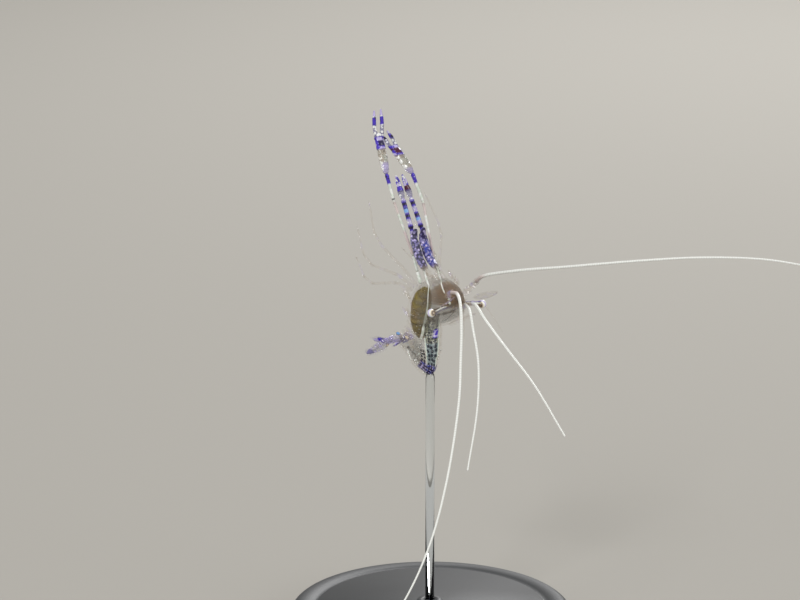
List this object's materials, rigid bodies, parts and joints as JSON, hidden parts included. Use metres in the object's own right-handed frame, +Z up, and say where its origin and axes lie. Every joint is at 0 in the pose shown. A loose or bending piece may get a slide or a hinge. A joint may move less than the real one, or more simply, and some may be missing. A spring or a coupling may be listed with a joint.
{
  "type": "cleaner shrimp",
  "caption": "Life-size cleaner shrimp with long white feelers and violet-banded pincer legs, hovering belly up on a flat round stand with one thin rod.",
  "frame": {"origin": "centre of the stand's flat underside", "axes": "+Z up out of the stand's underside, through the rod; +X points towards the side the right antenna reaches out to, +Y away from the side the head faces; the animal's head points 60 degrees from +X towards -Y"},
  "size_m": [0.0541, 0.0308, 0.0514],
  "materials": {
    "clear_shell": "clear, faintly brown, gloss",
    "spotted_shell": "clear gloss with white lines and dark violet spots",
    "banded_limb": "gloss, banded violet, blue and white",
    "white_feeler": "white, satin",
    "cornea": "pearly, gloss",
    "stand_plastic": "satin charcoal",
    "clear_rod": "clear acrylic, gloss"
  },
  "bodies": {
    "root": {"abdomen_1": "spotted_shell", "abdomen_2": "spotted_shell", "abdomen_3": "spotted_shell", "abdomen_4": "spotted_shell", "abdomen_5": "spotted_shell", "abdomen_6": "spotted_shell", "antenna_left": "clear_shell", "antenna_left_feeler_1": "white_feeler", "antenna_left_feeler_2": "white_feeler", "antenna_left_feeler_3": "white_feeler", "antenna_right": "clear_shell", "antenna_right_feeler_1": "white_feeler", "antenna_right_feeler_2": "white_feeler", "antenna_right_feeler_3": "white_feeler", "antenna_scale_left": "clear_shell", "antenna_scale_right": "clear_shell", "antennule_left": "clear_shell", "antennule_left_feeler_1": "white_feeler", "antennule_left_feeler_2": "white_feeler", "antennule_right": "clear_shell", "antennule_right_feeler_1": "white_feeler", "antennule_right_feeler_2": "white_feeler", "carapace": "clear_shell", "eye_left": "cornea", "eye_right": "cornea", "eyestalk_left": "clear_shell", "eyestalk_right": "clear_shell", "long_pincer_finger_left": "banded_limb", "long_pincer_finger_right": "banded_limb", "long_pincer_left": "banded_limb", "long_pincer_leg_left": "white_feeler", "long_pincer_leg_right": "white_feeler", "long_pincer_right": "banded_limb", "maxilliped_left": "banded_limb", "maxilliped_right": "banded_limb", "rostrum": "clear_shell", "small_pincer_left": "banded_limb", "small_pincer_leg_left": "banded_limb", "small_pincer_leg_right": "banded_limb", "small_pincer_right": "banded_limb", "stand_base": "stand_plastic", "stand_rod": "clear_rod", "telson": "spotted_shell", "uropod_left": "spotted_shell", "uropod_right": "spotted_shell", "walking_leg_1_left": "clear_shell", "walking_leg_1_right": "clear_shell", "walking_leg_2_left": "clear_shell", "walking_leg_2_right": "clear_shell", "walking_leg_3_left": "clear_shell", "walking_leg_3_right": "clear_shell"}
  },
  "joints": []
}
